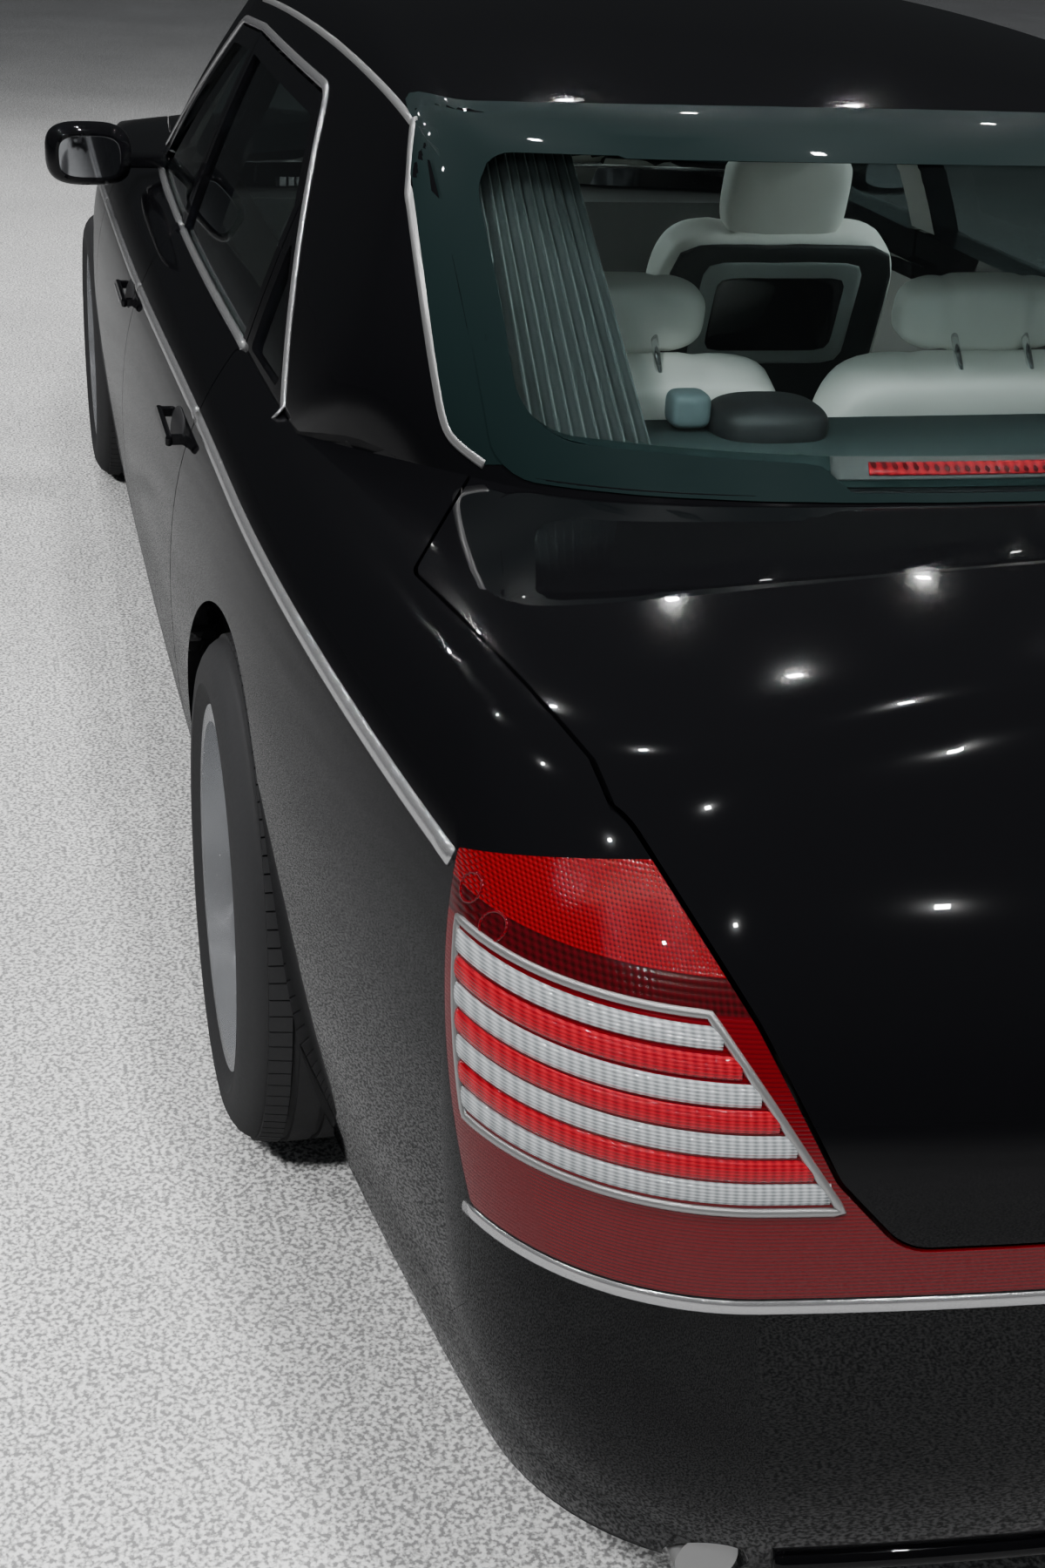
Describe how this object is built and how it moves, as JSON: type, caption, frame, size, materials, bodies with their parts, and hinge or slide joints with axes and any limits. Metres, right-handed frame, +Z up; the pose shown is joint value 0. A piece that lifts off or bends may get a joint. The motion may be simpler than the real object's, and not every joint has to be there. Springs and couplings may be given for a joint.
{
  "type": "sedan car",
  "caption": "Large four-door sedan car with hollow cabin, opening doors, bonnet and boot lid, steered front wheels and wheels that roll.",
  "frame": {"origin": "on the ground under the middle of the car", "axes": "+X towards the front of the car, +Y to its left, +Z up"},
  "size_m": [5.7401, 2.2072, 1.5674],
  "materials": {
    "paint": "gloss",
    "screen_glass": "clear",
    "side_glass": "tinted",
    "tail_lamp": "gloss",
    "headlamp": "clear",
    "grille": "polished",
    "liner": "matt",
    "floor": "satin",
    "axle": "rough",
    "engine": "cast",
    "exhaust": "brushed",
    "seat_leather": "grained",
    "parcel_shelf": "matt",
    "dashboard": "grained",
    "rim": "polished",
    "tyre": "matt"
  },
  "bodies": {
    "root": {"windscreen": "screen_glass", "rear_window": "screen_glass", "quarter_windows": "side_glass", "roof_panel": "paint", "tail_lamps": "tail_lamp", "headlamps": "headlamp", "rear_bumper": "paint", "front_bumper": "paint", "grille": "grille", "wheel_arch_liners": "liner", "floor_pan": "floor", "front_axle": "axle", "rear_axle": "axle", "engine": "engine", "exhaust": "exhaust", "front_seats": "seat_leather", "rear_bench": "seat_leather", "parcel_shelf": "parcel_shelf", "dashboard": "dashboard", "left_side_frame": "paint", "right_side_frame": "paint", "left_front_fender": "paint", "right_front_fender": "paint"},
    "boot_lid": {"boot_lid": "paint"},
    "bonnet": {"bonnet": "paint"},
    "steering_wheel": {"steering_wheel": "dashboard"},
    "left_front_door": {"left_front_door": "paint", "left_front_door_glass": "side_glass", "left_mirror": "paint"},
    "left_front_wheel": {"left_front_rim": "rim", "left_front_tyre": "tyre"},
    "left_rear_door": {"left_rear_door": "paint", "left_rear_door_glass": "side_glass"},
    "left_rear_wheel": {"left_rear_rim": "rim", "left_rear_tyre": "tyre"},
    "left_knuckle": {"left_knuckle": "axle"},
    "right_front_door": {"right_front_door": "paint", "right_front_door_glass": "side_glass", "right_mirror": "paint"},
    "right_front_wheel": {"right_front_rim": "rim", "right_front_tyre": "tyre"},
    "right_rear_door": {"right_rear_door": "paint", "right_rear_door_glass": "side_glass"},
    "right_rear_wheel": {"right_rear_rim": "rim", "right_rear_tyre": "tyre"},
    "right_knuckle": {"right_knuckle": "axle"}
  },
  "joints": [
    {"name": "left_steer", "type": "hinge", "parent": "root", "child": "left_knuckle", "pos_m": [1.861, 0.7775, 0.3775], "axis": [0, 0, 1], "range_deg": [-35, 35]},
    {"name": "left_front_wheel_spin", "type": "hinge", "parent": "left_knuckle", "child": "left_front_wheel", "pos_m": [1.861, 0.8375, 0.3775], "axis": [0, 1, 0], "continuous": true},
    {"name": "left_rear_wheel_spin", "type": "hinge", "parent": "root", "child": "left_rear_wheel", "pos_m": [-1.529, 0.845, 0.3775], "axis": [0, 1, 0], "continuous": true},
    {"name": "left_front_door_hinge", "type": "hinge", "parent": "root", "child": "left_front_door", "pos_m": [1.2685, 0.99, 0.6], "axis": [0, 0, -1], "range_deg": [0, 65]},
    {"name": "left_rear_door_hinge", "type": "hinge", "parent": "root", "child": "left_rear_door", "pos_m": [0.1085, 0.99, 0.6], "axis": [0, 0, -1], "range_deg": [0, 70]},
    {"name": "right_steer", "type": "hinge", "parent": "root", "child": "right_knuckle", "pos_m": [1.861, -0.7775, 0.3775], "axis": [0, 0, 1], "range_deg": [-35, 35]},
    {"name": "right_front_wheel_spin", "type": "hinge", "parent": "right_knuckle", "child": "right_front_wheel", "pos_m": [1.861, -0.8375, 0.3775], "axis": [0, 1, 0], "continuous": true},
    {"name": "right_rear_wheel_spin", "type": "hinge", "parent": "root", "child": "right_rear_wheel", "pos_m": [-1.529, -0.845, 0.3775], "axis": [0, 1, 0], "continuous": true},
    {"name": "right_front_door_hinge", "type": "hinge", "parent": "root", "child": "right_front_door", "pos_m": [1.2685, -0.99, 0.6], "axis": [0, 0, 1], "range_deg": [0, 65]},
    {"name": "right_rear_door_hinge", "type": "hinge", "parent": "root", "child": "right_rear_door", "pos_m": [0.1085, -0.99, 0.6], "axis": [0, 0, 1], "range_deg": [0, 70]},
    {"name": "steering_wheel_turn", "type": "hinge", "parent": "root", "child": "steering_wheel", "pos_m": [0.661, 0.385, 0.84], "axis": [-0.9135, 0, 0.4067], "range_deg": [-525, 525]},
    {"name": "bonnet_hinge", "type": "hinge", "parent": "root", "child": "bonnet", "pos_m": [1.0262, 0, 1.0826], "axis": [0, -1, 0], "range_deg": [0, 50]},
    {"name": "boot_lid_hinge", "type": "hinge", "parent": "root", "child": "boot_lid", "pos_m": [-1.7338, 0, 1.1121], "axis": [0, 1, 0], "range_deg": [0, 65]}
  ],
  "couplings": [
    {"joint": "right_steer", "follows": "left_steer", "ratio": 1},
    {"joint": "steering_wheel_turn", "follows": "left_steer", "ratio": 15}
  ]
}
